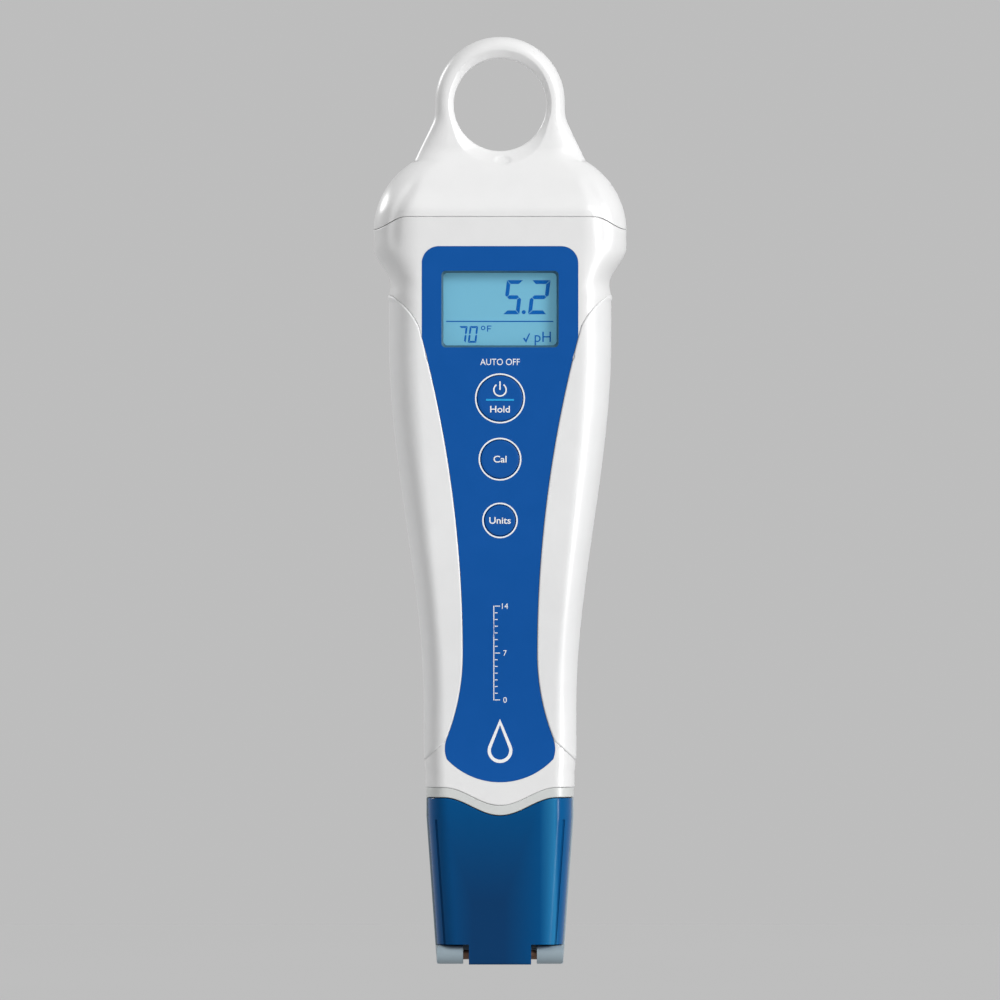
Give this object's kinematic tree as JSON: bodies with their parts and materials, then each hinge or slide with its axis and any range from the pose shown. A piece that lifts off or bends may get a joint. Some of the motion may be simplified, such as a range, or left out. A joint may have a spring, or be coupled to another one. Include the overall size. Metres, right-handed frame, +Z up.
{
  "type": "ph test pen",
  "caption": "Hand-held pH test pen with a display, three keys, a battery cap with a hanging loop, and a glass-bulb probe under a storage cap with a hinged clip.",
  "frame": {"origin": "centre of the base that the capped pen stands on", "axes": "+Z up along the pen towards its hanging loop, -Y the way the display faces, +X to the right seen from the front"},
  "size_m": [0.048, 0.0254, 0.176],
  "materials": {
    "white_shell": "satin moulded white",
    "white_cap": "satin moulded white",
    "grip_white": "satin moulded white, fine texture",
    "collar_grey": "off-white moulded",
    "label_blue": "printed polyester overlay, satin",
    "key_blue": "satin",
    "clear_window": "clear polycarbonate",
    "lcd": "display cell with dark segments",
    "diffuser": "translucent white",
    "dark_plastic": "moulded black",
    "inner_plastic": "natural moulded",
    "board_green": "solder mask",
    "seal_rubber": "matte rubber",
    "steel": "plated",
    "silver": "drawn wire",
    "contact_brass": "plated strip",
    "cell_wrap": "printed sleeve",
    "probe_glass": "clear glass",
    "junction_white": "porous polymer",
    "wire_red": "insulation",
    "cap_blue": "translucent blue",
    "sponge": "open-cell foam",
    "clip_frosted": "frosted translucent",
    "pin_bronze": "turned pin"
  },
  "bodies": {
    "main": {"front_housing": "white_shell", "rear_housing": "white_shell", "side_grip_left": "grip_white", "side_grip_right": "grip_white", "face_label": "label_blue", "display_window": "clear_window", "lcd_cell": "lcd", "lcd_holder": "dark_plastic", "backlight": "diffuser", "elastomer_strips": "seal_rubber", "main_board": "board_green", "board_chips": "dark_plastic", "tactile_switches": "steel", "board_screws": "steel", "battery_tube": "inner_plastic", "battery_spring": "steel", "negative_contact": "steel", "battery_lead": "contact_brass", "probe_collar": "collar_grey", "probe_sleeve": "dark_plastic", "glass_stem": "probe_glass", "glass_bulb": "probe_glass", "silver_wire": "silver", "reference_junction": "junction_white", "temperature_sensor": "steel", "probe_oring": "seal_rubber", "probe_connector": "inner_plastic", "probe_wires": "wire_red"},
    "battery_cap": {"battery_cap": "white_cap", "cap_oring": "seal_rubber", "positive_contact": "contact_brass"},
    "battery_cell": {"battery_cell": "cell_wrap"},
    "hold_key": {"hold_key": "key_blue"},
    "cal_key": {"cal_key": "key_blue"},
    "units_key": {"units_key": "key_blue"},
    "storage_cap": {"storage_cap": "cap_blue", "storage_sponge": "sponge", "clip_pin": "pin_bronze"},
    "cap_clip": {"cap_clip": "clip_frosted"}
  },
  "joints": [
    {"name": "battery_cap_slide", "type": "slide", "parent": "main", "child": "battery_cap", "axis": [0, 0, 1], "range_m": [0, 0.06]},
    {"name": "battery_cell_slide", "type": "slide", "parent": "main", "child": "battery_cell", "axis": [0, 0, 1], "range_m": [0, 0.045]},
    {"name": "hold_key_press", "type": "slide", "parent": "main", "child": "hold_key", "axis": [0, 1, 0], "range_m": [0, 0.00045], "stiffness_N_per_m": 1500, "springref_m": -0.0003},
    {"name": "cal_key_press", "type": "slide", "parent": "main", "child": "cal_key", "axis": [0, 1, 0], "range_m": [0, 0.00045], "stiffness_N_per_m": 1500, "springref_m": -0.0003},
    {"name": "units_key_press", "type": "slide", "parent": "main", "child": "units_key", "axis": [0, 1, 0], "range_m": [0, 0.00045], "stiffness_N_per_m": 1500, "springref_m": -0.0003},
    {"name": "storage_cap_slide", "type": "slide", "parent": "main", "child": "storage_cap", "axis": [0, 0, -1], "range_m": [0, 0.035]},
    {"name": "cap_clip_hinge", "type": "hinge", "parent": "storage_cap", "child": "cap_clip", "pos_m": [0, -0.0049, 0.00185], "axis": [-1, 0, 0], "range_deg": [0, 100]}
  ],
  "couplings": [
    {"joint": "battery_cell_slide", "follows": "battery_cap_slide", "ratio": 0.75}
  ]
}
